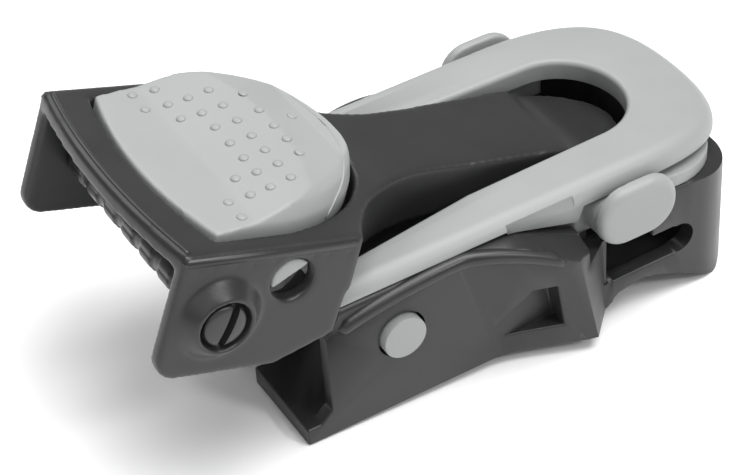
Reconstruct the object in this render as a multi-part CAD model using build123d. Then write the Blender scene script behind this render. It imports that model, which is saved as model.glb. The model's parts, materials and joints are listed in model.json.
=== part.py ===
from build123d import *
from math import atan2, cos, degrees, sin
import os

# Fin buckle: a base that clips to the fin, a ring shaped yoke on top of it, two push
# buttons, and a strap housing whose tongue is pinned inside the base. All sizes are in mm.
# Pieces are drawn in one of two frames. The base frame has x along the buckle, z up from
# the base's flat underside and y = 0 in the middle. The housing frame has its origin in
# the middle of the housing's front top edge, with z = 0 on its flat top.

# Strap housing
HOUSING_WIDTH = 38.0
CHEEK_WALL = 2.0
CHEEK_LENGTH = 24.0
CHEEK_HEIGHT = 17.1
CHEEK_FRONT_LEAN = 0.8
CHEEK_BACK_LEAN = 0.7
CHEEK_TOE_RADIUS = 3.0
CHEEK_HEEL_RUN = 7.6
CHEEK_HEEL_RISE = 3.4
DECK = 2.2
FRONT_BULGE = 2.0
HOUSING_EDGE = 0.5
BEAD_HEIGHT = 1.7
BEAD_GROOVE = 0.45
BEAD_GROOVE_DEPTH = 0.35
BEAD_GROOVE_END = 0.6

# Neck and tongue, in one piece with the housing
NECK_END = 42.0
NECK_WIDTH = 14.2
NECK_BOTTOM_X = 34.0
TONGUE_WIDTH = 15.6
TONGUE_RISE = 1.3
TONGUE_MID = 48.0
TONGUE_MID_RISE = 0.5
TONGUE_TOP_END = 59.6
TONGUE_DEPTH = 8.0
TONGUE_BELLY = 52.0
TONGUE_BELLY_DEPTH = 6.4
TIP_CENTRE = 67.2
TIP_THICK = 2.6
TIP_DISH_LENGTH = 12.8
TIP_DISH_DEPTH = 1.1
HOLLOW_START = 37.0
HOLLOW_END = 54.6
HOLLOW_SLOPE = 0.8
TONGUE_ROOF = 2.4
TONGUE_WALL = 1.8
HUB_RADIUS = 3.1
WELL_DEPTH = 5.6
WELL_FLOOR = 2.0
WELL_START = 20.0

# Thumb pad, which rocks on two stubs in the cheeks
PAD_FRONT = 3.4
PAD_FRONT_BULGE = 2.2
PAD_WIDTH = 31.6
PAD_STRAIGHT_END = 13.0
PAD_END = 30.8
PAD_SKIRT = 1.8
PAD_FRONT_HEIGHT = 0.1
PAD_RISE = 11.0
PAD_RISE_HEIGHT = 1.5
PAD_SWELL = 15.5
PAD_SWELL_HEIGHT = 3.3
PAD_PEAK = 21.0
PAD_HEIGHT = 5.0
PAD_FALL = 25.5
PAD_FALL_HEIGHT = 4.8
PAD_BACK_HEIGHT = 3.2
PAD_RIM_HEIGHT = 1.0
PAD_SHOULDER_HEIGHT = 3.4
PAD_SHOULDER_INSET = 0.6
PAD_TOP_INSET = 2.0
PAD_CROWN_RADIUS = 130.0
PAD_CLEARANCE = 0.35
PAD_END_CLEARANCE = 0.9
PAD_PIVOT_X = 15.4
PAD_PIVOT_DROP = 5.0
PAD_HOLE_RADIUS = 2.8
PAD_STUB_CLEARANCE = 0.08
PAD_STUB_RECESS = 0.4
PAD_STUB_CUT_TURN = 35.0
PAD_STUB_CUT_SHIFT = 0.35
PAD_LUG_WALL = 1.8
PAD_LUG_RADIUS = 4.2
PAD_LUG_RUN = 6.0
PAD_LUG_CLEARANCE = 0.35
PAD_LUG_OVERLAP = 0.5

# Axle and strap roller at the housing's mouth
AXLE_X = 6.1
AXLE_DROP = 8.8
AXLE_RADIUS = 1.25
AXLE_HEAD_RADIUS = 3.1
AXLE_HEAD_DOME = 0.5
AXLE_HEAD_SEAT = 1.6
AXLE_SLOT = 1.2
AXLE_SLOT_SHIFT = 0.4
AXLE_SLOT_DEPTH = 0.9
AXLE_SLOT_TURN = 12.5
AXLE_FIT = 0.05
BOSS_BASE_RADIUS = 5.7
BOSS_TIP_RADIUS = 3.6
BOSS_HEIGHT = 2.4
HEAD_GAP = 0.2
ROLLER_RADIUS = 2.35
ROLLER_CORE_RADIUS = 2.0
ROLLER_TOOTH = 2.8
ROLLER_TOOTH_PITCH = 4.7
ROLLER_GROOVES = 8
ROLLER_GROOVE_WIDTH = 0.5
ROLLER_END_CLEARANCE = 0.4

# Base
WALL_OUTSIDE = 33.6
WALL = 2.0
FLOOR = 2.6
RIM_HEIGHT = 19.9
RIM_EDGE = 1.1
FLOOR_LEFT = 13.8
FLOOR_LIP = 0.8
WALL_LEFT = 17.5
WALL_FOOT_RISE = 1.6
WALL_TOP_LEFT = 20.0
WALL_TOP_CUT = 4.0
NOTCH_WIDTH = 6.0
NOTCH_LENGTH = 12.0
RIM_END = 44.0
RIM_BEND = 49.5
RIM_BEND_DROP = 2.6
WALL_SLOPE_END = 57.8
WALL_SLOPE_DROP = 6.5
WING_START = 36.0
WING_TIP_TOP = 51.0
WING_TIP_FOOT = 54.8
WING_SPAN = 41.8
WING_FOOT_LAG = 5.6
WING_TOP_FALL = 20.0
POCKET_START = 40.0
POCKET_END = 50.3
POCKET_LOW = 3.7
POCKET_HIGH = 10.9
POCKET_LEAN = 1.1
POCKET_TOP_RUN = 4.0
NOSE_START = 57.8
NOSE_END = 80.7
NOSE_WIDTH = 34.0
NOSE_TOP_DROP = 4.2
NOSE_DROP = 3.2
NOSE_FOOT_INSET = 4.0
NOSE_FOOT_EDGE = 3.0
NOSE_CORNER = 7.0
NOSE_ARCH = 64.8
NOSE_ARCH_HEIGHT = 2.3
NOSE_HEEL = 60.8
NOSE_HEEL_HEIGHT = 1.6
NOSE_TOE = 69.4
NOSE_TOE_HEIGHT = 0.9
NOSE_WALL = 2.4
NOSE_FLOOR = 3.0
SLOT_HEIGHT = 4.6
SLOT_LOW = 4.2
SLOT_END = 72.6
SLOT_OPEN_END = 66.0
PEG_X = 28.0
PEG_HEIGHT = 11.7
PEG_RADIUS = 3.0
PEG_HOLE_GAP = 0.4
PEG_PROUD = 1.0

# Yoke, which lies on the walls' rims
RIM_GAP = 0.2
ARM_THICK = 1.8
BOW_THICK = 3.0
YOKE_WIDTH = 33.2
BOW_START = 61.5
BOW_END = 82.7
BOW_SQUARENESS = 0.75
BOW_RELIEF_RUN = 4.0
OPENING_X = 63.4
OPENING_RADIUS = 8.5
ARM_LEFT = 15.6
ARM_LEFT_GAP = 12.6
ARM_MID = 42.9
ARM_MID_GAP = 9.0
YOKE_OUTER_EDGE = 2.4
YOKE_INNER_EDGE = 0.8
SKIRT_THICK = 1.6
SKIRT_GAP = 0.15
SKIRT_RUN = 6.0
SKIRT_END = 54.0
HANGER_WALL = 2.0
HANGER_LENGTH = 8.0
HANGER_GAP = 0.2

# Buttons, and the leaf under the ring
BUTTON_X = 62.15
BUTTON_LENGTH = 11.9
BUTTON_TOP_GAP = 0.35
BUTTON_TALL = 6.4
BUTTON_CAP_RISE = 2.4
BUTTON_CAP_GAP = 0.15
BUTTON_TIP = 19.6
BUTTON_EDGE = 1.0
BUTTON_CORNER = 4.2
BUTTON_STEM_INSET = 0.5
BUTTON_STEM_CORNER = 2.6
BUTTON_FLANGE = 1.6
BUTTON_FLANGE_LIP = 0.9
BUTTON_FLANGE_GAP = 0.2
BUTTON_GAP = 0.35
BUTTON_FRONT_GAP = 1.6
BUTTON_TRAVEL = 1.0
LEAF_TOP_GAP = 0.3
LEAF_INSET = 1.4
LEAF_WALL = 2.2
LEAF_SEAM = 70.0

# Tongue pivot inside the base
PIVOT_X = 57.0
PIVOT_DROP = 5.2
TONGUE_PIVOT_X = 62.0
TONGUE_PIVOT_DROP = 4.8
PIVOT_PIN_RADIUS = 1.25
PIVOT_FIT = 0.05
PIVOT_LUG_WALL = 2.4
PIVOT_LUG_RADIUS = 3.0
PIVOT_LUG_GAP = 0.35
HOUSING_TILT = 19.3

# What follows from the sizes above
HALF_HOUSING = HOUSING_WIDTH / 2
CHEEK_INSIDE = HALF_HOUSING - CHEEK_WALL
BOSS_TIP = HALF_HOUSING + BOSS_HEIGHT
HALF_NECK = NECK_WIDTH / 2
HALF_TONGUE = TONGUE_WIDTH / 2
HALF_WALL = WALL_OUTSIDE / 2
HALF_WALL_INSIDE = HALF_WALL - WALL
HALF_NOSE = NOSE_WIDTH / 2
HALF_YOKE = YOKE_WIDTH / 2
WALL_SLOPE_LOW = RIM_HEIGHT - WALL_SLOPE_DROP
NOSE_TOP = RIM_HEIGHT - NOSE_TOP_DROP
PIVOT_HEIGHT = RIM_HEIGHT - PIVOT_DROP
ARM_BOTTOM = RIM_HEIGHT + RIM_GAP
YOKE_TOP = ARM_BOTTOM + ARM_THICK
BOW_BOTTOM = YOKE_TOP - BOW_THICK
BUTTON_HIGH = BOW_BOTTOM - BUTTON_TOP_GAP
BUTTON_LOW = BUTTON_HIGH - BUTTON_TALL
SINK = 0.1
BIG = 200.0


def side_prism(points, y_low, y_high, corner=None, radius=0.0):
    """A solid with a straight-sided outline in x and z, with one corner rounded if given."""
    face = make_face(Polyline(*[(x, y_low, z) for x, z in points], close=True))
    if corner:
        vertex = face.vertices().sort_by_distance((corner[0], y_low, corner[1]))[0]
        face = fillet(vertex, radius)
    return extrude(face, amount=y_high - y_low, dir=(0, 1, 0))


def plan_prism(face, z_low, z_high):
    """A solid with the plan outline of a face drawn at z = 0, from z_low to z_high."""
    return extrude(Pos(0, 0, z_low) * face, amount=z_high - z_low, dir=(0, 0, 1))


def block(x_low, x_high, y_low, y_high, z_low, z_high):
    """A box between the given limits."""
    size = Box(x_high - x_low, y_high - y_low, z_high - z_low, align=Align.MIN)
    return Pos(x_low, y_low, z_low) * size


def rod(x, z, radius, y_low, y_high):
    """A round rod across the buckle, from y_low to y_high."""
    upright = Cylinder(radius, y_high - y_low, align=(Align.CENTER, Align.CENTER, Align.MIN))
    return Pos(x, y_low, z) * Rot(-90, 0, 0) * upright


def both_sides(piece):
    """A piece on the far side, with its mirror image on the near side."""
    return piece + piece.mirror(Plane.XZ)


def from_housing_frame(piece):
    """Tilt a piece from the housing frame to its place on the base, about the pivot pin."""
    to_pivot = Pos(-TONGUE_PIVOT_X, 0, TONGUE_PIVOT_DROP)
    return Pos(PIVOT_X, 0, PIVOT_HEIGHT) * Rot(0, HOUSING_TILT, 0) * to_pivot * piece


def housing_plan():
    """Outline of the deck, the neck and the tongue with its round tip, seen from above."""
    run = NECK_END - CHEEK_LENGTH
    rise = HALF_HOUSING - HALF_NECK
    radius = (run ** 2 + rise ** 2) / (2 * rise)
    half_turn = atan2(run, radius - rise) / 2
    middle = (NECK_END - radius * sin(half_turn), HALF_NECK + radius * (1 - cos(half_turn)))
    tip = TIP_CENTRE + HALF_TONGUE
    lines = [
        ThreePointArc((0, HALF_HOUSING), (-FRONT_BULGE, 0), (0, -HALF_HOUSING)),
        Line((0, -HALF_HOUSING), (CHEEK_LENGTH, -HALF_HOUSING)),
        ThreePointArc((CHEEK_LENGTH, -HALF_HOUSING), (middle[0], -middle[1]), (NECK_END, -HALF_NECK)),
        Line((NECK_END, -HALF_NECK), (TIP_CENTRE, -HALF_TONGUE)),
        ThreePointArc((TIP_CENTRE, -HALF_TONGUE), (tip, 0), (TIP_CENTRE, HALF_TONGUE)),
        Line((TIP_CENTRE, HALF_TONGUE), (NECK_END, HALF_NECK)),
        ThreePointArc((NECK_END, HALF_NECK), middle, (CHEEK_LENGTH, HALF_HOUSING)),
        Line((CHEEK_LENGTH, HALF_HOUSING), (0, HALF_HOUSING)),
    ]
    return make_face(lines)


def pad_plan(side_gap, end_gap):
    """Outline of the thumb pad from above, made larger by a gap or smaller by an inset."""
    half = PAD_WIDTH / 2 + side_gap
    front = PAD_FRONT - side_gap
    corner = front + PAD_FRONT_BULGE
    reach = PAD_END + end_gap - PAD_STRAIGHT_END
    middle = (PAD_STRAIGHT_END, 0)
    lines = [
        ThreePointArc((corner, half), (front, 0), (corner, -half)),
        Line((corner, -half), (PAD_STRAIGHT_END, -half)),
        EllipticalCenterArc(middle, reach, half, start_angle=-90, arc_size=180),
        Line((PAD_STRAIGHT_END, half), (corner, half)),
    ]
    return make_face(lines)


def cheek():
    """Far cheek: a flat wall with a leaning front, a round toe and a sloping heel."""
    heel = CHEEK_LENGTH - CHEEK_BACK_LEAN
    toe = (-CHEEK_FRONT_LEAN, -CHEEK_HEIGHT)
    outline = [
        (0, 0), toe, (heel - CHEEK_HEEL_RUN, -CHEEK_HEIGHT), (heel, CHEEK_HEEL_RISE - CHEEK_HEIGHT),
        (CHEEK_LENGTH, -DECK), (CHEEK_LENGTH, 0),
    ]
    return side_prism(outline, CHEEK_INSIDE, HALF_HOUSING, toe, CHEEK_TOE_RADIUS)


def tongue(plan):
    """Well floor, neck, tongue and hub, hollow underneath, with a dish in the round tip."""
    tongue_back = TONGUE_PIVOT_X + HUB_RADIUS
    tip_low = TONGUE_RISE - TIP_THICK
    profile = [
        (WELL_START, 0), (NECK_BOTTOM_X, 0), (TONGUE_MID, TONGUE_MID_RISE), (TONGUE_TOP_END, TONGUE_RISE),
        (BIG, TONGUE_RISE), (BIG, tip_low), (tongue_back, tip_low), (tongue_back, -TONGUE_PIVOT_DROP),
        (TONGUE_PIVOT_X, -TONGUE_PIVOT_DROP - HUB_RADIUS), (TONGUE_BELLY, -TONGUE_BELLY_DEPTH),
        (NECK_BOTTOM_X, -TONGUE_DEPTH), (WELL_START, -WELL_DEPTH - WELL_FLOOR),
    ]
    inside = block(-BIG, CHEEK_LENGTH, -CHEEK_INSIDE, CHEEK_INSIDE, -BIG, BIG)
    inside += block(CHEEK_LENGTH, BIG, -BIG, BIG, -BIG, BIG)
    body = plan_prism(plan, -BIG / 4, BIG / 4) & side_prism(profile, -BIG, BIG) & inside
    body += rod(TONGUE_PIVOT_X, -TONGUE_PIVOT_DROP, HUB_RADIUS, -HALF_NECK, HALF_NECK)
    hollow = [(HOLLOW_START, -BIG / 8), (HOLLOW_START, -TONGUE_ROOF - HOLLOW_SLOPE),
              (HOLLOW_END, -TONGUE_ROOF), (HOLLOW_END, -BIG / 8)]
    body -= side_prism(hollow, TONGUE_WALL - HALF_NECK, HALF_NECK - TONGUE_WALL)
    dish_radius = (TIP_DISH_LENGTH ** 2 / 4 + TIP_DISH_DEPTH ** 2) / (2 * TIP_DISH_DEPTH)
    dish_x = TIP_CENTRE + HALF_TONGUE - TIP_DISH_LENGTH / 2
    body -= rod(dish_x, TONGUE_RISE - TIP_DISH_DEPTH + dish_radius, dish_radius, -BIG, BIG)
    return body - rod(TONGUE_PIVOT_X, -TONGUE_PIVOT_DROP, PIVOT_PIN_RADIUS + PIVOT_FIT, -BIG, BIG)


def strap_housing():
    """Two cheeks joined by a deck, with the tongue behind them and a boss on each cheek."""
    plan = housing_plan()
    deck = plan_prism(plan, -DECK, 0) & block(-BIG, CHEEK_LENGTH, -BIG, BIG, -BIG, BIG)
    body = both_sides(cheek()) + deck + tongue(plan)
    body -= plan_prism(pad_plan(PAD_CLEARANCE, PAD_END_CLEARANCE), -WELL_DEPTH, BIG)
    seated = (Align.CENTER, Align.CENTER, Align.MIN)
    boss = Cone(BOSS_BASE_RADIUS, BOSS_TIP_RADIUS, BOSS_HEIGHT, align=seated)
    body += both_sides(Pos(AXLE_X, HALF_HOUSING, -AXLE_DROP) * Rot(-90, 0, 0) * boss)
    seat = rod(AXLE_X, -AXLE_DROP, AXLE_HEAD_RADIUS + HEAD_GAP, BOSS_TIP - AXLE_HEAD_SEAT, BIG)
    body -= both_sides(seat)
    body -= rod(AXLE_X, -AXLE_DROP, AXLE_RADIUS, -BIG, BIG)
    body -= rod(PAD_PIVOT_X, -PAD_PIVOT_DROP, PAD_HOLE_RADIUS, -BIG, BIG)
    groove = block(BEAD_GROOVE_END, CHEEK_LENGTH - BEAD_GROOVE_END, HALF_HOUSING - BEAD_GROOVE_DEPTH, BIG,
                   -BEAD_HEIGHT - BEAD_GROOVE, -BEAD_HEIGHT)
    body -= both_sides(groove)
    top = body.edges().filter_by(lambda edge: abs(edge.center().Z) < SINK)
    rim = top.filter_by(lambda edge: abs(edge.center().Y) > HALF_HOUSING - SINK or edge.center().X < 0)
    return fillet(rim, HOUSING_EDGE)


def pad_profile():
    """Outline of the thumb pad's top from the side: rising from the lip to a peak near its back."""
    return [
        (0, -PAD_SKIRT), (0, PAD_FRONT_HEIGHT), (PAD_FRONT, PAD_FRONT_HEIGHT), (PAD_RISE, PAD_RISE_HEIGHT),
        (PAD_SWELL, PAD_SWELL_HEIGHT), (PAD_PEAK, PAD_HEIGHT), (PAD_FALL, PAD_FALL_HEIGHT),
        (PAD_END, PAD_BACK_HEIGHT), (PAD_END + 1, -PAD_SKIRT),
    ]


def thumb_pad():
    """Domed pad on two lugs, whose stubs turn in the cheeks' rear holes."""
    shape = plan_prism(pad_plan(0, 0), -PAD_SKIRT, PAD_RIM_HEIGHT)
    sections = ((0, PAD_RIM_HEIGHT), (PAD_SHOULDER_INSET, PAD_SHOULDER_HEIGHT), (PAD_TOP_INSET, PAD_HEIGHT))
    shape += loft([Pos(0, 0, height) * pad_plan(-inset, -inset) for inset, height in sections], ruled=True)
    shape &= side_prism(pad_profile(), -BIG, BIG)
    shape &= Pos(0, 0, PAD_HEIGHT - PAD_CROWN_RADIUS) * Rot(0, 90, 0) * Cylinder(PAD_CROWN_RADIUS, BIG)
    lug_outside = PAD_WIDTH / 2 - PAD_LUG_CLEARANCE
    lug_inside = lug_outside - PAD_LUG_WALL
    lug_top = PAD_LUG_OVERLAP - PAD_SKIRT
    outline = [(PAD_PIVOT_X - PAD_LUG_RUN, lug_top), (PAD_PIVOT_X - PAD_LUG_RADIUS, -PAD_PIVOT_DROP),
               (PAD_PIVOT_X, -PAD_PIVOT_DROP), (WELL_START - 1, lug_top)]
    lug = side_prism(outline, lug_inside, lug_outside)
    lug += rod(PAD_PIVOT_X, -PAD_PIVOT_DROP, PAD_LUG_RADIUS, lug_inside, lug_outside)
    lug &= plan_prism(pad_plan(-SINK, -SINK), -BIG / 4, 0)
    stub = rod(PAD_PIVOT_X, -PAD_PIVOT_DROP, PAD_HOLE_RADIUS - PAD_STUB_CLEARANCE,
               lug_outside - SINK, HALF_HOUSING - PAD_STUB_RECESS)
    # The stub is cut back to half a round, so that the cheek's hole shows open below it.
    half = block(-BIG, BIG, lug_outside, BIG, -BIG, PAD_STUB_CUT_SHIFT)
    stub -= Pos(PAD_PIVOT_X, 0, -PAD_PIVOT_DROP) * Rot(0, -PAD_STUB_CUT_TURN, 0) * half
    return shape + both_sides(lug + stub)


def axle_pin():
    """Pin through both cheeks, with a slotted domed head sunk in each boss."""
    pin = rod(AXLE_X, -AXLE_DROP, AXLE_RADIUS, AXLE_HEAD_SEAT - BOSS_TIP, BOSS_TIP - AXLE_HEAD_SEAT)
    head = rod(AXLE_X, -AXLE_DROP, AXLE_HEAD_RADIUS, BOSS_TIP - AXLE_HEAD_SEAT, BOSS_TIP)
    ball_radius = (AXLE_HEAD_RADIUS ** 2 + AXLE_HEAD_DOME ** 2) / (2 * AXLE_HEAD_DOME)
    ball = Pos(AXLE_X, BOSS_TIP + AXLE_HEAD_DOME - ball_radius, -AXLE_DROP) * Sphere(ball_radius)
    dome = ball & rod(AXLE_X, -AXLE_DROP, AXLE_HEAD_RADIUS, BOSS_TIP - SINK / 10, BOSS_TIP + AXLE_HEAD_DOME)
    slot = Box(AXLE_SLOT, 2 * AXLE_SLOT_DEPTH, BIG)
    place = Pos(AXLE_X + AXLE_SLOT_SHIFT, BOSS_TIP + AXLE_HEAD_DOME, -AXLE_DROP)
    cut = place * Rot(0, AXLE_SLOT_TURN, 0) * slot
    return pin + both_sides(head + dome - cut)


def strap_roller():
    """Roller on the axle, with rings of teeth that grip the strap."""
    half_length = CHEEK_INSIDE - ROLLER_END_CLEARANCE
    teeth = int((2 * half_length - ROLLER_TOOTH) / ROLLER_TOOTH_PITCH)
    roller = rod(0, 0, ROLLER_CORE_RADIUS, -half_length, half_length)
    for number in range(teeth + 1):
        middle = (number - teeth / 2) * ROLLER_TOOTH_PITCH
        roller += rod(0, 0, ROLLER_RADIUS, middle - ROLLER_TOOTH / 2, middle + ROLLER_TOOTH / 2)
    for number in range(ROLLER_GROOVES):
        bar = Pos(ROLLER_RADIUS, 0, 0) * Box(ROLLER_GROOVE_WIDTH, 4 * half_length, ROLLER_GROOVE_WIDTH)
        roller -= Rot(0, 360 / ROLLER_GROOVES * number, 0) * bar
    roller -= rod(0, 0, AXLE_RADIUS + AXLE_FIT, -BIG, BIG)
    return Pos(AXLE_X, 0, -AXLE_DROP) * roller


def bow_lines(inset):
    """The far and near halves of the bow's outline, from the far side to the near side."""
    half = HALF_YOKE - inset
    end = BOW_END - inset
    shoulder = BOW_START + (end - BOW_START) * BOW_SQUARENESS
    lean = half * BOW_SQUARENESS
    return [
        Bezier((BOW_START, half), (shoulder, half), (end, lean), (end, 0)),
        Bezier((end, 0), (end, -lean), (shoulder, -half), (BOW_START, -half)),
    ]


def ring_plan():
    """Outline of the yoke from above: two arms joined by a bow, round the opening."""
    outer = [
        *bow_lines(0),
        Line((BOW_START, -HALF_YOKE), (ARM_LEFT, -HALF_YOKE)),
        Line((ARM_LEFT, -HALF_YOKE), (ARM_LEFT, HALF_YOKE)),
        Line((ARM_LEFT, HALF_YOKE), (BOW_START, HALF_YOKE)),
    ]
    left = ARM_LEFT - 1
    tip = (OPENING_X + OPENING_RADIUS, 0)
    opening = [
        Line((left, -ARM_LEFT_GAP), (ARM_MID, -ARM_MID_GAP)),
        Line((ARM_MID, -ARM_MID_GAP), (OPENING_X, -OPENING_RADIUS)),
        ThreePointArc((OPENING_X, -OPENING_RADIUS), tip, (OPENING_X, OPENING_RADIUS)),
        Line((OPENING_X, OPENING_RADIUS), (ARM_MID, ARM_MID_GAP)),
        Line((ARM_MID, ARM_MID_GAP), (left, ARM_LEFT_GAP)),
        Line((left, ARM_LEFT_GAP), (left, -ARM_LEFT_GAP)),
    ]
    return make_face(outer) - make_face(opening)


def yoke():
    """Ring with two arms, the skirts beside the buttons and the hangers with their pegs."""
    ring = plan_prism(ring_plan(), BOW_BOTTOM, YOKE_TOP)
    top = ring.faces().sort_by(Axis.Z)[-1].edges().filter_by(lambda edge: edge.center().X > ARM_LEFT + 1)
    tip = OPENING_X + OPENING_RADIUS + 1
    inner = top.filter_by(lambda edge: abs(edge.center().Y) < ARM_LEFT_GAP and edge.center().X < tip)
    outer = [edge for edge in top if edge not in inner]
    ring = fillet(outer, YOKE_OUTER_EDGE)
    top = ring.faces().sort_by(Axis.Z)[-1].edges().filter_by(lambda edge: edge.center().X > ARM_LEFT + 1)
    inner = top.filter_by(lambda edge: abs(edge.center().Y) < ARM_LEFT_GAP and edge.center().X < tip)
    ring = fillet(inner, YOKE_INNER_EDGE)
    relief = [(ARM_LEFT - 1, -BIG), (ARM_LEFT - 1, ARM_BOTTOM), (RIM_END, ARM_BOTTOM),
              (RIM_END + BOW_RELIEF_RUN, BOW_BOTTOM), (RIM_END + BOW_RELIEF_RUN, -BIG)]
    ring -= side_prism(relief, -BIG, BIG)
    skirt_top = YOKE_TOP - ARM_THICK / 2
    skirt = side_prism([(RIM_END - SKIRT_RUN, skirt_top), *wall_top(SKIRT_GAP), (WALL_SLOPE_END, skirt_top)],
                       HALF_YOKE - SKIRT_THICK, HALF_YOKE)
    skirt &= block(RIM_END, SKIRT_END, -BIG, BIG, -BIG, BIG)
    hanger_outside = HALF_WALL_INSIDE - HANGER_GAP
    hanger = block(PEG_X - HANGER_LENGTH / 2, PEG_X + HANGER_LENGTH / 2, hanger_outside - HANGER_WALL,
                   hanger_outside, PEG_HEIGHT - PEG_RADIUS - 1, ARM_BOTTOM + SINK)
    peg = rod(PEG_X, PEG_HEIGHT, PEG_RADIUS, hanger_outside - SINK, HALF_WALL + PEG_PROUD)
    return ring + both_sides(skirt + hanger + peg)


def button():
    """Far push button: a stem through the nose's notch, a cap outside and a flange inside."""
    left = BUTTON_X - BUTTON_LENGTH / 2
    right = left + BUTTON_LENGTH
    wall_inside = HALF_NOSE - NOSE_WALL
    cap_start = HALF_YOKE + BUTTON_TRAVEL + BUTTON_CAP_GAP
    stem = block(left + BUTTON_STEM_INSET, right - BUTTON_STEM_INSET, wall_inside - BUTTON_FLANGE_GAP - SINK,
                 cap_start + SINK, BUTTON_LOW + BUTTON_STEM_INSET, BUTTON_HIGH)
    stem = fillet(stem.edges().filter_by(Axis.Y), BUTTON_STEM_CORNER)
    # The cap stands up in front of the ring's edge, clear of it when pressed.
    cap = block(left, right, cap_start, BUTTON_TIP, BUTTON_LOW, BUTTON_HIGH + BUTTON_CAP_RISE)
    cap = fillet(cap.edges().filter_by(Axis.Y), BUTTON_CORNER)
    cap = fillet(cap.faces().sort_by(Axis.Y)[-1].edges(), BUTTON_EDGE)
    flange_outside = wall_inside - BUTTON_FLANGE_GAP
    flange = block(left - BUTTON_FLANGE_LIP, right + BUTTON_FLANGE_LIP, flange_outside - BUTTON_FLANGE,
                   flange_outside, BUTTON_LOW, BUTTON_HIGH)
    return stem + cap + flange


def clip_bow():
    """Leaf that runs round under the ring, on top of the nose."""
    def disc(inset):
        back = Line((BOW_START, inset - HALF_YOKE), (BOW_START, HALF_YOKE - inset))
        return make_face([*bow_lines(inset), back])

    band = plan_prism(disc(LEAF_INSET) - disc(LEAF_INSET + LEAF_WALL), NOSE_TOP, BOW_BOTTOM - LEAF_TOP_GAP)
    return band & block(LEAF_SEAM, BIG, -BIG, BIG, -BIG, BIG)


def wall_top(lift):
    """The walls' top edge from the level rim down to the nose, as points in x and z."""
    return [
        (RIM_END - SKIRT_RUN, RIM_HEIGHT + lift), (RIM_END + 1, RIM_HEIGHT - RIM_GAP * 2 + lift),
        (RIM_BEND, RIM_HEIGHT - RIM_BEND_DROP + lift), (WALL_SLOPE_END, WALL_SLOPE_LOW + lift),
    ]


def wing():
    """Far wing: the wall flares outwards to a corner and slants back to the nose."""
    flare = WING_SPAN / 2 - HALF_WALL
    inner = HALF_WALL - WALL / 2
    shares = [(0, 0), (0.33, 0.26), (0.6, 0.58), (1, 1)]
    faces = []
    for start, tip, back, height in ((WING_START + WING_FOOT_LAG, WING_TIP_FOOT, NOSE_START + 1, 0),
                                     (WING_START, WING_TIP_TOP, NOSE_START, RIM_HEIGHT)):
        curve = [(start + (tip - start) * along, HALF_WALL + flare * out) for along, out in shares]
        edges = [
            Line((start, inner), curve[0]), Spline(*curve), Line(curve[-1], (back, HALF_WALL)),
            Line((back, HALF_WALL), (back, inner)), Line((back, inner), (start, inner)),
        ]
        faces.append(Pos(0, 0, height) * make_face(edges))
    solid = loft(faces, ruled=True)
    pocket = [(POCKET_START, POCKET_LOW), (POCKET_END, POCKET_LOW), (POCKET_END - POCKET_LEAN, POCKET_HIGH),
              (POCKET_END - POCKET_TOP_RUN, POCKET_HIGH)]
    solid -= side_prism(pocket, HALF_WALL + RIM_GAP, BIG)
    # The wing's top follows the sloping wall and falls outwards.
    above = [(0, BIG), (0, RIM_HEIGHT), *wall_top(0), (BIG, WALL_SLOPE_LOW), (BIG, BIG)]
    over = side_prism(above, -BIG, BIG)
    turn = Pos(0, HALF_WALL, RIM_HEIGHT) * Rot(-WING_TOP_FALL, 0, 0) * Pos(0, -HALF_WALL, -RIM_HEIGHT)
    return solid - over - turn * over


def base():
    """Channel with a floor and two walls, the wings and the hollow nose."""
    half = HALF_WALL
    notch_end = FLOOR_LEFT + NOTCH_LENGTH - NOTCH_WIDTH / 2
    floor = block(FLOOR_LEFT, NOSE_START + 1, -half, half, 0, FLOOR)
    notch = block(FLOOR_LEFT - 1, notch_end, -NOTCH_WIDTH / 2, NOTCH_WIDTH / 2, -1, FLOOR + 1)
    notch += Pos(notch_end, 0, FLOOR / 2) * Cylinder(NOTCH_WIDTH / 2, FLOOR + 2)
    wall_outline = [
        (FLOOR_LEFT, 0), (FLOOR_LEFT, FLOOR_LIP), (WALL_LEFT, FLOOR + WALL_FOOT_RISE),
        (WALL_LEFT, RIM_HEIGHT - WALL_TOP_CUT), (WALL_TOP_LEFT, RIM_HEIGHT), *wall_top(0),
        (NOSE_START + 1, WALL_SLOPE_LOW), (NOSE_START + 1, 0),
    ]
    wall = side_prism(wall_outline, HALF_WALL_INSIDE, half)
    rim = wall.edges().filter_by(Axis.X).filter_by(lambda edge: edge.center().Z > RIM_HEIGHT - SINK)
    wall = fillet(rim.sort_by(Axis.Y)[-1], RIM_EDGE)
    body = floor - notch + both_sides(wall + wing()) + nose()
    body -= block(BUTTON_X - BUTTON_LENGTH / 2 - BUTTON_FRONT_GAP, BUTTON_X + BUTTON_LENGTH / 2 + BUTTON_GAP,
                  -BIG, BIG, BUTTON_LOW - BUTTON_GAP, BIG)
    body += both_sides(pivot_lug())
    return body - rod(PEG_X, PEG_HEIGHT, PEG_RADIUS + PEG_HOLE_GAP, -BIG, BIG)


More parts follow.
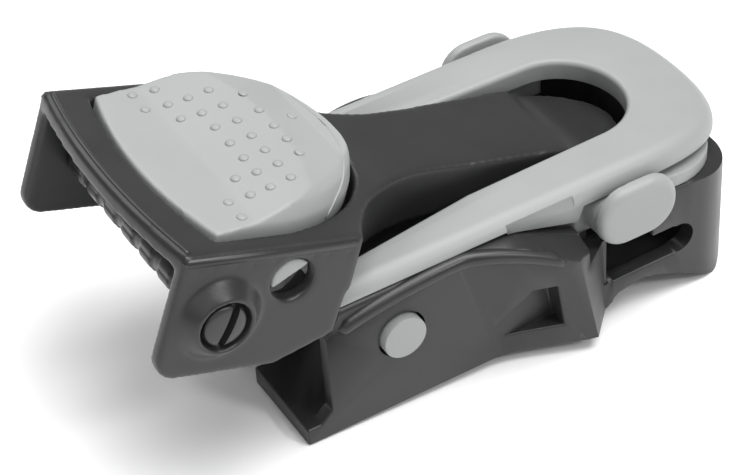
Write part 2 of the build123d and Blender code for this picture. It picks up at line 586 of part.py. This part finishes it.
def nose():
    """Hollow nose with rounded corners, an arched foot and a slot through each side."""
    middle = (NOSE_START + NOSE_END) / 2
    outline = Pos(middle, 0) * Rectangle(NOSE_END - NOSE_START, NOSE_WIDTH)
    outline = fillet(outline.vertices().sort_by(Axis.X)[-2:], NOSE_CORNER)
    solid = plan_prism(outline, -NOSE_DROP, NOSE_TOP)
    # The foot arches over the fin's edge and comes down at its right end.
    foot_end = NOSE_END - NOSE_FOOT_INSET
    foot = [
        (NOSE_START - 1, -BIG / 4), (NOSE_START - 1, 0), (NOSE_START + 1, 0),
        (NOSE_HEEL, NOSE_HEEL_HEIGHT), (NOSE_ARCH, NOSE_ARCH_HEIGHT), (NOSE_TOE, NOSE_TOE_HEIGHT),
        (foot_end, -NOSE_DROP), (foot_end, -BIG / 4),
    ]
    solid -= side_prism(foot, -BIG, BIG)
    toe = [(NOSE_END - NOSE_FOOT_EDGE, -NOSE_DROP - 1), (NOSE_END - NOSE_FOOT_EDGE, -NOSE_DROP),
           (NOSE_END, NOSE_FOOT_EDGE - NOSE_DROP), (NOSE_END + 1, -NOSE_DROP - 1)]
    solid -= side_prism(toe, -BIG, BIG)
    inside = Pos(middle, 0) * Rectangle(NOSE_END - NOSE_START, NOSE_WIDTH - 2 * NOSE_WALL)
    inside = fillet(inside.vertices().sort_by(Axis.X)[-2:], NOSE_CORNER - NOSE_WALL)
    solid -= plan_prism(Pos(-NOSE_WALL, 0) * inside, NOSE_FLOOR, BIG)
    slot_round = SLOT_END - SLOT_HEIGHT / 2
    slot = block(NOSE_START - 1, slot_round, -BIG, BIG, SLOT_LOW, SLOT_LOW + SLOT_HEIGHT)
    slot += rod(slot_round, SLOT_LOW + SLOT_HEIGHT / 2, SLOT_HEIGHT / 2, -BIG, BIG)
    slot += block(NOSE_START - 1, SLOT_OPEN_END, -BIG, BIG, SLOT_LOW + SLOT_HEIGHT / 2, BUTTON_LOW)
    return solid - slot


def pivot_lug():
    """Far lug that rises from the floor and holds one end of the pivot pin."""
    near = HALF_TONGUE + PIVOT_LUG_GAP
    far = near + PIVOT_LUG_WALL
    left = PIVOT_X - PIVOT_LUG_RADIUS
    right = PIVOT_X + PIVOT_LUG_RADIUS
    post = block(left, right, near, far, FLOOR - SINK, PIVOT_HEIGHT)
    post += rod(PIVOT_X, PIVOT_HEIGHT, PIVOT_LUG_RADIUS, near, far)
    return post - rod(PIVOT_X, PIVOT_HEIGHT, PIVOT_PIN_RADIUS, -BIG, BIG)


def pivot_pin():
    """Cross pin that the tongue's hub turns on, pressed into the two lugs."""
    reach = HALF_TONGUE + PIVOT_LUG_GAP + PIVOT_LUG_WALL
    return rod(PIVOT_X, PIVOT_HEIGHT, PIVOT_PIN_RADIUS, -reach, reach)


def all_pieces():
    """Every piece by name, in the base frame."""
    far_button = button()
    return {
        "base": base(),
        "yoke": yoke(),
        "clip_bow": clip_bow(),
        "pivot_pin": pivot_pin(),
        "button_far": far_button,
        "button_near": far_button.mirror(Plane.XZ),
        "strap_housing": from_housing_frame(strap_housing()),
        "thumb_pad": from_housing_frame(thumb_pad()),
        "axle_pin": from_housing_frame(axle_pin()),
        "strap_roller": from_housing_frame(strap_roller()),
    }


def settled(pieces):
    """Stand the pieces on the floor's left edge and the nose's foot, centred over the origin."""
    lean = degrees(atan2(NOSE_DROP, NOSE_END - NOSE_FOOT_INSET - FLOOR_LEFT))
    leaned = {name: Rot(0, -lean, 0) * piece for name, piece in pieces.items()}
    bounds = Compound(children=[Compound([piece]) for piece in leaned.values()]).bounding_box()
    centre = bounds.center()
    return {name: Pos(-centre.X, 0, -bounds.min.Z) * piece for name, piece in leaned.items()}


os.makedirs("parts", exist_ok=True)
for name, piece in settled(all_pieces()).items():
    export_step(piece, f"parts/{name}.step")
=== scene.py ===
import json
from math import asin, cos, pi, radians, sin

import bmesh
import bpy
from mathutils import Matrix, Vector
from mathutils.bvhtree import BVHTree


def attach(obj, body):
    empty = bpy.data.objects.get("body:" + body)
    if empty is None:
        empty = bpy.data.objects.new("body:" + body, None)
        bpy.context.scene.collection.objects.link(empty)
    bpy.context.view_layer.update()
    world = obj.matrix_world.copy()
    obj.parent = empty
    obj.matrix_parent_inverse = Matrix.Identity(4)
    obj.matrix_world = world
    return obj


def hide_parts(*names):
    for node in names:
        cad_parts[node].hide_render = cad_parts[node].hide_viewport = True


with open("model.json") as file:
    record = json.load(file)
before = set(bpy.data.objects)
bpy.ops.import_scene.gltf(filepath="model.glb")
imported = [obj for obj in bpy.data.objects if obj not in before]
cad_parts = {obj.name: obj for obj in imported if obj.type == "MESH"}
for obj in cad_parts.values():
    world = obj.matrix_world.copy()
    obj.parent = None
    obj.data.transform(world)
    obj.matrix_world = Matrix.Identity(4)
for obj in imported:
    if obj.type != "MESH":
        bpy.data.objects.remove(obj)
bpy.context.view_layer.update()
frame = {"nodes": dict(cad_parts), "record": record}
nodes = frame["nodes"]


# The base of the buckle, a channel with a hollow nose, is moulded in stiff charcoal plastic.
# Its skin has the fine spark-eroded grain of a steel mould, and every edge is a little
# rounded, as it leaves the mould.
grain_scale, grain_detail, grain_depth = 2600.0, 3.0, 0.00004
cloud_scale, cloud_detail, cloud_middle = 110.0, 4.0, 0.5
shade_reach, polish_reach = 0.35, 0.7


def grain_group():
    """Fine mould grain with faint cloudy shine: colour factor, roughness factor and normal."""
    group = bpy.data.node_groups.new("mould_grain", "ShaderNodeTree")
    socket = group.interface.new_socket
    for name in ("Grain", "Clouds"):
        socket(name, in_out="INPUT", socket_type="NodeSocketFloat").default_value = 1.0
    for name in ("Shade", "Polish"):
        socket(name, in_out="OUTPUT", socket_type="NodeSocketFloat")
    socket("Normal", in_out="OUTPUT", socket_type="NodeSocketVector")
    add = group.nodes.new
    link = group.links.new
    given, out = add("NodeGroupInput"), add("NodeGroupOutput")
    place = add("ShaderNodeTexCoord")
    fine = add("ShaderNodeTexNoise")
    fine.inputs["Scale"].default_value = grain_scale
    fine.inputs["Detail"].default_value = grain_detail
    link(place.outputs["Object"], fine.inputs["Vector"])
    cloud = add("ShaderNodeTexNoise")
    cloud.inputs["Scale"].default_value = cloud_scale
    cloud.inputs["Detail"].default_value = cloud_detail
    link(place.outputs["Object"], cloud.inputs["Vector"])
    bump = add("ShaderNodeBump")
    bump.inputs["Distance"].default_value = grain_depth
    link(given.outputs["Grain"], bump.inputs["Strength"])
    link(fine.outputs["Fac"], bump.inputs["Height"])
    link(bump.outputs["Normal"], out.inputs["Normal"])
    # Both factors swing about one with the clouds, by more where the material asks for more.
    centred = add("ShaderNodeMath")
    centred.operation = "SUBTRACT"
    centred.inputs[1].default_value = cloud_middle
    link(cloud.outputs["Fac"], centred.inputs[0])
    swung = add("ShaderNodeMath")
    swung.operation = "MULTIPLY"
    link(centred.outputs["Value"], swung.inputs[0])
    link(given.outputs["Clouds"], swung.inputs[1])
    for name, reach in (("Shade", shade_reach), ("Polish", polish_reach)):
        spread = add("ShaderNodeMath")
        spread.operation = "MULTIPLY_ADD"
        spread.inputs[1].default_value = reach
        spread.inputs[2].default_value = 1.0
        link(swung.outputs["Value"], spread.inputs[0])
        link(spread.outputs["Value"], out.inputs[name])
    return group


mould_grain = grain_group()


def moulded_plastic(name, colour, roughness, grain, clouds):
    """A material of one colour with fine grain and faint clouds in its skin."""
    material = bpy.data.materials.new(name)
    material.use_nodes = True
    tree = material.node_tree
    skin = tree.nodes["Principled BSDF"]
    effect = tree.nodes.new("ShaderNodeGroup")
    effect.node_tree = mould_grain
    effect.inputs["Grain"].default_value = grain
    effect.inputs["Clouds"].default_value = clouds
    tint = tree.nodes.new("ShaderNodeMix")
    tint.data_type = "RGBA"
    tint.blend_type = "MULTIPLY"
    tint.inputs["Factor"].default_value = 1.0
    tint.inputs["A"].default_value = (*colour, 1.0)
    tree.links.new(effect.outputs["Shade"], tint.inputs["B"])
    tree.links.new(tint.outputs["Result"], skin.inputs["Base Color"])
    shine = tree.nodes.new("ShaderNodeMath")
    shine.operation = "MULTIPLY"
    shine.inputs[1].default_value = roughness
    tree.links.new(effect.outputs["Polish"], shine.inputs[0])
    tree.links.new(shine.outputs["Value"], skin.inputs["Roughness"])
    tree.links.new(effect.outputs["Normal"], skin.inputs["Normal"])
    return material


def dressed(name, shape, material, body):
    """Make a bmesh into a piece of one material that rides on a body."""
    data = bpy.data.meshes.new(name)
    shape.to_mesh(data)
    shape.free()
    for face in data.polygons:
        face.use_smooth = True
    piece = bpy.data.objects.new(name, data)
    bpy.context.scene.collection.objects.link(piece)
    data.materials.append(material)
    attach(piece, body)
    return piece


bodies = frame["record"]["behaviour"]["bodies"]
body_of = {node: body for body, held in bodies.items() for node in held}
weld_distance = 0.000004
flat_angle = radians(0.6)
sharp_angle = radians(28.0)
# An edge with a shorter neighbour than this many widths stays sharp, as a round would fold there.
room_needed = 2.2


def eased(node, name, width, material, reshape):
    """A reshaped copy of a CAD node with a narrow round on each long sharp edge."""
    shape = bmesh.new()
    shape.from_mesh(nodes[node].data)
    bmesh.ops.remove_doubles(shape, verts=shape.verts, dist=weld_distance)
    bmesh.ops.dissolve_limit(shape, angle_limit=flat_angle, verts=list(shape.verts),
                             edges=list(shape.edges), use_dissolve_boundaries=False)
    reshape(shape)
    weight = shape.edges.layers.float.new("bevel_weight_edge")
    for edge in shape.edges:
        if edge.calc_face_angle() > sharp_angle:
            nearest = min(other.calc_length() for end in edge.verts for other in end.link_edges)
            edge[weight] = 1.0 if nearest > room_needed * width else 0.0
            edge.smooth = nearest > room_needed * width
    piece = dressed(name, shape, material, body_of[node])
    edges = piece.modifiers.new("edges", "BEVEL")
    edges.width = width
    edges.segments = 3
    edges.limit_method = "WEIGHT"
    edges.use_clamp_overlap = False
    edges.harden_normals = True
    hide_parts(node)
    return piece


# The base's own axes run along its flat underside, which leans a little on the floor.
base_lean = 0.05083058
base_start = Vector((-0.03747786, 0.0, -0.00070116))
base_along = Vector((cos(base_lean), 0.0, sin(base_lean)))
base_upward = Vector((-sin(base_lean), 0.0, cos(base_lean)))
across = Vector((0.0, 1.0, 0.0))
on_base = Matrix((base_along, across, base_upward)).transposed().to_4x4()
on_base = Matrix.Translation(base_start) @ on_base

# The nose's top and the ring on it fall away together towards their far end.
droop_start, droop_end = 0.060, 0.0827
droop_depth = 0.0021
droop_cuts = 12
cut_tolerance = 0.000001
nose_low = 0.0145


def drooping(lowest, cuts):
    """A change that bends what lies above a height down towards the nose's end."""
    def bend(shape):
        for cut in range(cuts):
            place = droop_start + (droop_end - droop_start) * cut / cuts
            whole = list(shape.verts) + list(shape.edges) + list(shape.faces)
            bmesh.ops.bisect_plane(shape, geom=whole, dist=cut_tolerance, plane_no=base_along,
                                   plane_co=on_base @ Vector((place, 0.0, 0.0)))
        for vertex in shape.verts:
            here = on_base.inverted() @ vertex.co
            share = (here.x - droop_start) / (droop_end - droop_start)
            if share > 0.0 and here.z > lowest:
                vertex.co.z -= droop_depth * share ** 2
    return bend


charcoal = moulded_plastic("charcoal_plastic", colour=(0.02, 0.02, 0.0206), roughness=0.36,
                           grain=0.3, clouds=1.0)
charcoal.node_tree.nodes["Principled BSDF"].inputs["Specular IOR Level"].default_value = 0.42
eased("base", "base_body", width=0.0003, material=charcoal,
      reshape=drooping(nose_low, droop_cuts))

# A rounded ridge is moulded along the outside of each wall. It rises under the ring's arm, then
# falls and turns outwards with the edge of the wing.
ridge_start, ridge_top, ridge_turn, ridge_end = 0.0192, 0.0362, 0.0373, 0.0500
ridge_height = 0.0190
ridge_rise, ridge_fall = 7.5, 20.5
ridge_out = 0.0166
ridge_splay = 0.29
ridge_radius = 0.0011
ridge_steps = 40
bar_sides = 16
blunt_share = 0.2


def hollowed(shape):
    """Take out the faces that earlier extrusions left inside a bar."""
    inner = [face for face in shape.faces if all(len(edge.link_faces) > 2 for edge in face.edges)]
    bmesh.ops.delete(shape, geom=inner, context="FACES_ONLY")
    bmesh.ops.recalc_face_normals(shape, faces=list(shape.faces))


def pushed_out(shape, faces, move):
    """Extrude faces by a move, and give the faces that now close the bar."""
    first = len(shape.faces) == 1
    grown = bmesh.ops.extrude_face_region(shape, geom=faces, use_keep_orig=first)["geom"]
    moved = [part for part in grown if isinstance(part, bmesh.types.BMVert)]
    bmesh.ops.translate(shape, verts=moved, vec=move)
    return [part for part in grown if isinstance(part, bmesh.types.BMFace)]


def sweep(path, start, radius, sides):
    """A round bar through the points of a path, with both ends drawn in to a blunt point."""
    shape = bmesh.new()
    ring = bmesh.ops.create_circle(shape, cap_ends=True, segments=sides, radius=radius)["verts"]
    facing = Vector((0, 0, 1)).rotation_difference(start).to_matrix()
    bmesh.ops.rotate(shape, verts=ring, cent=(0, 0, 0), matrix=facing)
    bmesh.ops.translate(shape, verts=ring, vec=path[0])
    end = list(shape.faces)
    for before, after in zip(path, path[1:]):
        end = pushed_out(shape, end, after - before)
    hollowed(shape)
    for cap in [face for face in shape.faces if len(face.verts) == sides]:
        middle = Matrix.Translation(-cap.calc_center_median())
        bmesh.ops.scale(shape, verts=list(cap.verts), vec=(blunt_share,) * 3, space=middle)
    return shape


for name, side in (("ridge_far", 1), ("ridge_near", -1)):
    places = []
    for step in range(ridge_steps + 1):
        x = ridge_start + (ridge_end - ridge_start) * step / ridge_steps
        bend = ridge_rise if x < ridge_top else ridge_fall
        y = ridge_out + ridge_splay * max(0.0, x - ridge_turn)
        z = ridge_height - bend * (x - ridge_top) ** 2
        places.append(on_base @ Vector((x, side * y, z)))
    bar = sweep(places, base_along, ridge_radius, bar_sides)
    dressed(name, bar, charcoal, "frame")

# The pivot pin is a plain ground steel pin, pressed into the two lugs inside the base. The
# housing's hub turns on it.
pin_steel = moulded_plastic("pin_steel", colour=(0.5, 0.5, 0.49), roughness=0.3,
                            grain=0.1, clouds=0.6)
pin_steel.node_tree.nodes["Principled BSDF"].inputs["Metallic"].default_value = 1.0
nodes["pivot_pin"].data.materials.clear()
nodes["pivot_pin"].data.materials.append(pin_steel)

# The yoke is moulded in light cool grey plastic, smoother than the base. It lies on the
# walls' rims, and its two pegs stand in the walls' round holes.
light_grey = moulded_plastic("light_grey_plastic", colour=(0.28, 0.287, 0.285), roughness=0.45,
                             grain=0.2, clouds=0.35)
skirt_end, skirt_growth = 0.054, 0.0015
skirt_inside, skirt_outside = 0.0149, 0.01655
skirt_low_start, skirt_high_start, skirt_stop = 0.0455, 0.0435, 0.0545
skirt_low, skirt_seam, skirt_high = 0.01885, 0.0191, 0.0207
skirt_tuck, skirt_foot = 0.01612, 0.0154
skirt_hair = 0.00005


def reshape_yoke(shape):
    """Lay the skirts' edges on the ring's round and bring their ends to the buttons."""
    for vertex in shape.verts:
        here = on_base.inverted() @ vertex.co
        out = abs(here.y)
        if out > skirt_inside and abs(here.x - skirt_end) < skirt_hair and here.z < skirt_seam:
            vertex.co += base_along * skirt_growth
        if out > skirt_outside and here.x < skirt_stop:
            if here.x > skirt_low_start and here.z < skirt_low:
                vertex.co.y *= skirt_foot / out
            if here.x > skirt_high_start and here.z > skirt_high:
                vertex.co.y *= skirt_tuck / out
    drooping(0.0, 0)(shape)


eased("yoke", "yoke_ring", width=0.00015, material=light_grey,
      reshape=reshape_yoke)

# The leaf under the ring is a curved band of the same grey plastic, which follows the nose's
# rim. It shows as a pale strip between the ring and the nose.
leaf_half_width = 0.0167
leaf_wall = 0.0024
leaf_low, leaf_high = 0.0157, 0.0177
leaf_seam, leaf_end = 0.0665, 0.0798
leaf_corner = 0.0098
leaf_corner_steps = 10
leaf = bmesh.new()
bmesh.ops.create_grid(leaf, x_segments=1, y_segments=1, size=0.5)
bmesh.ops.scale(leaf, verts=leaf.verts, vec=(leaf_high - leaf_low, leaf_wall, 1.0))
quarter_turn = radians(90)
bmesh.ops.rotate(leaf, verts=leaf.verts, cent=(0, 0, 0),
                 matrix=Matrix.Rotation(quarter_turn, 3, "Y"))
leaf_middle = (leaf_seam, leaf_wall / 2 - leaf_half_width, (leaf_low + leaf_high) / 2)
bmesh.ops.translate(leaf, verts=leaf.verts, vec=leaf_middle)
leaf_face = list(leaf.faces)
leaf_straight = leaf_end - leaf_corner - leaf_seam
leaf_across = 2 * (leaf_half_width - leaf_corner)
# Each leg ends in a corner on the near side (-1) or the far side (1), the last one in none.
leaf_legs = (((leaf_straight, 0, 0), -1), ((0, leaf_across, 0), 1), ((-leaf_straight, 0, 0), 0))
for move, side in leaf_legs:
    leaf_face = pushed_out(leaf, leaf_face, move)
    if side:
        middle = (leaf_end - leaf_corner, side * (leaf_half_width - leaf_corner), 0)
        spun = bmesh.ops.spin(leaf, geom=leaf_face, cent=middle, axis=(0, 0, 1),
                              angle=quarter_turn, steps=leaf_corner_steps)
        leaf_face = [part for part in spun["geom_last"] if isinstance(part, bmesh.types.BMFace)]
bmesh.ops.transform(leaf, matrix=on_base, verts=list(leaf.verts))
hollowed(leaf)
drooping(0.0, droop_cuts)(leaf)
leaf_band = dressed("leaf_band", leaf, light_grey, "frame")


def soft_edges(piece, width):
    """Round a new piece's sharp edges by a hair."""
    edges = piece.modifiers.new("edges", "BEVEL")
    edges.width = width
    edges.segments = 2
    edges.angle_limit = radians(40.0)
    edges.harden_normals = True


soft_edges(leaf_band, width=0.0002)
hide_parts("clip_bow")


# The two push buttons are light grey too, and slide in the nose's notches. Their caps have
# full rounds, which fingers have worn smooth.
def rounded(node, name, grid, rounds, material):
    """A copy of a CAD node with its edges rounded as the mould leaves them."""
    shape = bmesh.new()
    shape.from_mesh(nodes[node].data)
    bmesh.ops.remove_doubles(shape, verts=shape.verts, dist=weld_distance)
    piece = dressed(name, shape, material, body_of[node])
    cells = piece.modifiers.new("cells", "REMESH")
    cells.mode = "VOXEL"
    cells.voxel_size = grid
    cells.adaptivity = 0.0
    cells.use_smooth_shade = True
    relax = piece.modifiers.new("relax", "SMOOTH")
    relax.factor = 0.5
    relax.iterations = rounds
    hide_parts(node)


for side in ("far", "near"):
    rounded(f"button_{side}", f"button_cap_{side}", grid=0.00022, rounds=24,
            material=light_grey)

# The strap housing is one charcoal moulding of two cheeks, deck, neck and tongue. It turns on
# the pivot pin through the hub under its tongue.
rounded("strap_housing", "housing_body", grid=0.00029, rounds=20,
        material=charcoal)

# The housing's own axes start at the middle of its front top edge and slope with its top.
housing_slope = 0.2860179649
housing_start = Vector((-0.0394254, 0.0, 0.0389733))
along = Vector((cos(housing_slope), 0.0, -sin(housing_slope)))
upward = Vector((sin(housing_slope), 0.0, cos(housing_slope)))
on_housing = Matrix((along, across, upward)).transposed().to_4x4()
on_housing = Matrix.Translation(housing_start) @ on_housing

# A narrow raised bead is moulded along the deck's curved front edge, in one piece with the
# housing, and ends at the cheeks.
deck_half_width, deck_bulge = 0.019, 0.0020
bead_half_width = 0.0179
bead_inset = 0.00115
bead_radius = 0.00042
bead_lift = -0.00024
bead_sides, bead_steps = 14, 60
deck_radius = (deck_half_width ** 2 + deck_bulge ** 2) / (2 * deck_bulge)
bead_reach = deck_radius - bead_inset
bead_half_turn = asin(bead_half_width / bead_reach)
bead_centre = Vector((deck_radius - deck_bulge, 0.0, 0.0))
bead = bmesh.new()
bmesh.ops.create_circle(bead, cap_ends=False, segments=bead_sides, radius=bead_radius)
ring = list(bead.verts)
bmesh.ops.rotate(bead, verts=ring, cent=(0, 0, 0), matrix=Matrix.Rotation(quarter_turn, 3, "X"))
bmesh.ops.translate(bead, verts=ring, vec=(-bead_reach, 0.0, bead_lift))
bmesh.ops.translate(bead, verts=ring, vec=bead_centre)
bmesh.ops.rotate(bead, verts=ring, cent=bead_centre,
                 matrix=Matrix.Rotation(-bead_half_turn, 3, "Z"))
bmesh.ops.spin(bead, geom=list(bead.edges), cent=bead_centre, axis=(0, 0, 1),
               angle=2 * bead_half_turn, steps=bead_steps, use_duplicate=False)
bmesh.ops.holes_fill(bead, edges=list(bead.edges), sides=0)
bmesh.ops.recalc_face_normals(bead, faces=list(bead.faces))
bmesh.ops.transform(bead, matrix=on_housing, verts=list(bead.verts))
dressed("lip_bead", bead, charcoal, "housing")

# A thicker bead is moulded along the top of each cheek in the same charcoal plastic, from the
# cheek's front to the deck's back.
edge_bead_places = (0.0, 0.0006, 0.0232, 0.0238)
edge_bead_out, edge_bead_drop = 0.0187, -0.0009
edge_bead_radius = 0.0006
for name, side in (("edge_bead_far", 1), ("edge_bead_near", -1)):
    places = [on_housing @ Vector((x, side * edge_bead_out, edge_bead_drop))
              for x in edge_bead_places]
    bar = sweep(places, along, edge_bead_radius, bar_sides)
    dressed(name, bar, charcoal, "housing")

# The thumb pad is a light grey moulding with a domed top. It rocks on two stubs, which turn in
# the cheeks' rear holes.
rounded("thumb_pad", "pad_body", grid=0.00025, rounds=12,
        material=light_grey)

# A fine raised line, moulded with the pad, follows its round back edge and falls down its
# sides. The points of its near half are in millimetres on the housing's axes.
rim_half = ((21.6, -13.95, -0.6), (22.2, -13.6, 0.35), (23.1, -12.9, 1.5), (24.0, -12.15, 2.2),
            (24.7, -11.35, 3.0), (25.2, -10.55, 3.55), (25.75, -9.5, 4.0), (26.2, -8.4, 4.35),
            (27.2, -5.8, 4.3), (27.85, -3.4, 4.1), (28.3, -1.0, 3.97))
rim_radius, rim_sides = 0.00016, 8
millimetre = 0.001
rim_points = [*rim_half, *[(x, -y, z) for x, y, z in reversed(rim_half)]]
rim_path = [on_housing @ (Vector(point) * millimetre) for point in rim_points]
rim_bar = sweep(rim_path, upward, rim_radius, rim_sides)
dressed("pad_rim", rim_bar, light_grey, "pad")

# Small round bumps stand in rows on the pad's top, in the shape of a broad V, for grip. Each
# row's distance from the front and its bumps' places across are in millimetres.
bump_rows = {
    9.7: (13.9, 10.4, -10.8, -14.0),
    12.4: (13.5, 9.9, 6.5, -7.3, -10.9),
    14.8: (9.5, 5.9, 2.5, -1.2, -4.6, -7.8, -11.1),
    17.5: (9.5, 5.8, 2.2, -1.4, -4.7, -7.8, -10.9),
    20.6: (6.6, 2.6, -1.1, -4.2, -7.3),
    24.1: (0.6,),
}
bump_radius, bump_height = 0.00064, 0.00024
above_pad = 20.0
pad_top = bmesh.new()
pad_top.from_mesh(nodes["thumb_pad"].data)
pad_tree = BVHTree.FromBMesh(pad_top)
pad_top.free()
bumps = bmesh.new()
for row, places in bump_rows.items():
    for place in places:
        above = on_housing @ (Vector((row, place, above_pad)) * millimetre)
        spot, normal, _, _ = pad_tree.ray_cast(above, -upward)
        dome = bmesh.ops.create_uvsphere(bumps, u_segments=14, v_segments=8, radius=1.0)["verts"]
        bmesh.ops.scale(bumps, verts=dome, vec=(bump_radius, bump_radius, bump_height))
        facing = Vector((0, 0, 1)).rotation_difference(normal).to_matrix()
        bmesh.ops.rotate(bumps, verts=dome, cent=(0, 0, 0), matrix=facing)
        bmesh.ops.translate(bumps, verts=dome, vec=spot)
dressed("pad_bumps", bumps, light_grey, "pad")

# The axle is near black acetal, turned, with a slotted domed head at each end, sunk in the
# boss of its cheek. Points of a profile give radius and height along the axle.
black = moulded_plastic("black_acetal", colour=(0.022, 0.022, 0.022), roughness=0.36,
                        grain=0.15, clouds=0.8)
axle_spot = Vector((0.0061, 0.0, -0.0088))
axle_radius = 0.00125
head_foot = 0.0198
head_profile = ((0.0, 0.0213), (0.0012, 0.02124), (0.002, 0.02112), (0.0025, 0.02098),
                (0.00274, 0.0208), (0.0028, 0.0206), (0.0028, head_foot))
slot_half, slot_shift = 0.00055, 0.0003
seat_radius, seat_top = 0.00275, 0.0201
slot_turn = radians(12.5)
turning_steps = 48
turned_tolerance = 0.0000005


def turned_part(profile):
    """A solid turned about the z axis from points of radius and height."""
    part = bmesh.new()
    points = [part.verts.new((radius, 0.0, height)) for radius, height in profile]
    edges = [part.edges.new(pair) for pair in zip(points, points[1:])]
    bmesh.ops.spin(part, geom=points + edges, cent=(0, 0, 0), axis=(0, 0, 1), angle=2 * pi,
                   steps=turning_steps, use_merge=True)
    bmesh.ops.remove_doubles(part, verts=list(part.verts), dist=turned_tolerance)
    bmesh.ops.holes_fill(part, edges=list(part.edges), sides=0)
    bmesh.ops.recalc_face_normals(part, faces=list(part.faces))
    return part


def put_on_axle(part, side):
    """Add a head's part to the axle, turned over for the near end."""
    if side < 0:
        bmesh.ops.scale(part, verts=list(part.verts), vec=(1, 1, -1))
        bmesh.ops.reverse_faces(part, faces=list(part.faces))
    store = bpy.data.meshes.new("axle_store")
    part.to_mesh(store)
    part.free()
    axle.from_mesh(store)
    bpy.data.meshes.remove(store)


axle = turned_part(((0.0, head_foot), (axle_radius, head_foot),
                    (axle_radius, -head_foot), (0.0, -head_foot)))
for side in (1, -1):
    # A head is two halves with the slot between them, on a round seat that closes the slot.
    for keep in (1, -1):
        half = turned_part(head_profile)
        whole = list(half.verts) + list(half.edges) + list(half.faces)
        slot_side = (slot_shift + keep * slot_half, 0, 0)
        bmesh.ops.bisect_plane(half, geom=whole, dist=turned_tolerance, plane_co=slot_side,
                               plane_no=(keep, 0, 0), clear_inner=True)
        bmesh.ops.holes_fill(half, edges=list(half.edges), sides=0)
        put_on_axle(half, side)
    seat = turned_part(((0.0, seat_top), (seat_radius, seat_top),
                        (seat_radius, head_foot), (0.0, head_foot)))
    put_on_axle(seat, side)
lay = Matrix.Rotation(slot_turn, 4, "Y") @ Matrix.Rotation(-quarter_turn, 4, "X")
lay = on_housing @ Matrix.Translation(axle_spot) @ lay
bmesh.ops.transform(axle, matrix=lay, verts=list(axle.verts))
axle_body = dressed("axle_body", axle, black, "housing")
soft_edges(axle_body, width=0.0001)
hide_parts("axle_pin")

# The toothed roller is moulded in the same near black acetal and turns on the axle, between
# the cheeks.
rounded("strap_roller", "roller_body", grid=0.0002, rounds=4,
        material=black)

# The floor is a wide sheet of pale matt paper that the buckle stands on. It is no piece of the
# buckle.
floor_half = 3.0
floor_shape = bmesh.new()
bmesh.ops.create_grid(floor_shape, x_segments=1, y_segments=1, size=floor_half)
floor_data = bpy.data.meshes.new("floor")
floor_shape.to_mesh(floor_data)
floor_shape.free()
floor = bpy.data.objects.new("floor", floor_data)
bpy.context.scene.collection.objects.link(floor)
paper = bpy.data.materials.new("pale_paper")
paper.use_nodes = True
paper_skin = paper.node_tree.nodes["Principled BSDF"]
paper_skin.inputs["Base Color"].default_value = (0.95, 0.95, 0.95, 1.0)
paper_skin.inputs["Roughness"].default_value = 0.9
floor.data.materials.append(paper)

# Soft white room light, a large lamp above, a small one in front for the glints, and weak ones
# at the left and the back.
world = bpy.data.worlds.new("studio")
bpy.context.scene.world = world
world.use_nodes = True
world.node_tree.nodes["Background"].inputs["Color"].default_value = (1.0, 1.0, 1.0, 1.0)
world.node_tree.nodes["Background"].inputs["Strength"].default_value = 0.3
lit_spot = Vector((0.0, 0.0, 0.02))


def lamp(name, place, size, power):
    """A square soft lamp that points at the buckle."""
    data = bpy.data.lights.new(name, "AREA")
    data.shape = "SQUARE"
    data.size = size
    data.energy = power
    made = bpy.data.objects.new(name, data)
    made.location = place
    made.rotation_euler = (lit_spot - Vector(place)).to_track_quat("-Z", "Y").to_euler()
    bpy.context.scene.collection.objects.link(made)


lamp("key_lamp", place=(0.16, -0.16, 1.03), size=0.8, power=14.0)
lamp("glint_lamp", place=(0.4, -0.7, 0.66), size=0.13, power=2.3)
lamp("left_lamp", place=(-0.5, -0.65, 0.6), size=0.6, power=1.2)
lamp("back_lamp", place=(0.1, 0.7, 0.7), size=0.6, power=3.0)

# The camera stands where the photograph's did, above the strap end's near corner, with the
# long lens that its perspective shows.
camera_place = (-0.125505, -0.206622, 0.210718)
camera_right = Vector((0.856366, -0.516223, -0.0123))
camera_up = Vector((0.336243, 0.539402, 0.772002))
camera_data = bpy.data.cameras.new("camera")
camera_data.sensor_width = 36.0
camera_data.lens = 115.4
camera_data.clip_start = 0.01
camera = bpy.data.objects.new("camera", camera_data)
turn = Matrix((camera_right, camera_up, camera_right.cross(camera_up))).transposed()
camera.matrix_world = Matrix.Translation(camera_place) @ turn.to_4x4()
bpy.context.scene.collection.objects.link(camera)
bpy.context.scene.camera = camera
bpy.context.scene.view_settings.view_transform = "Standard"
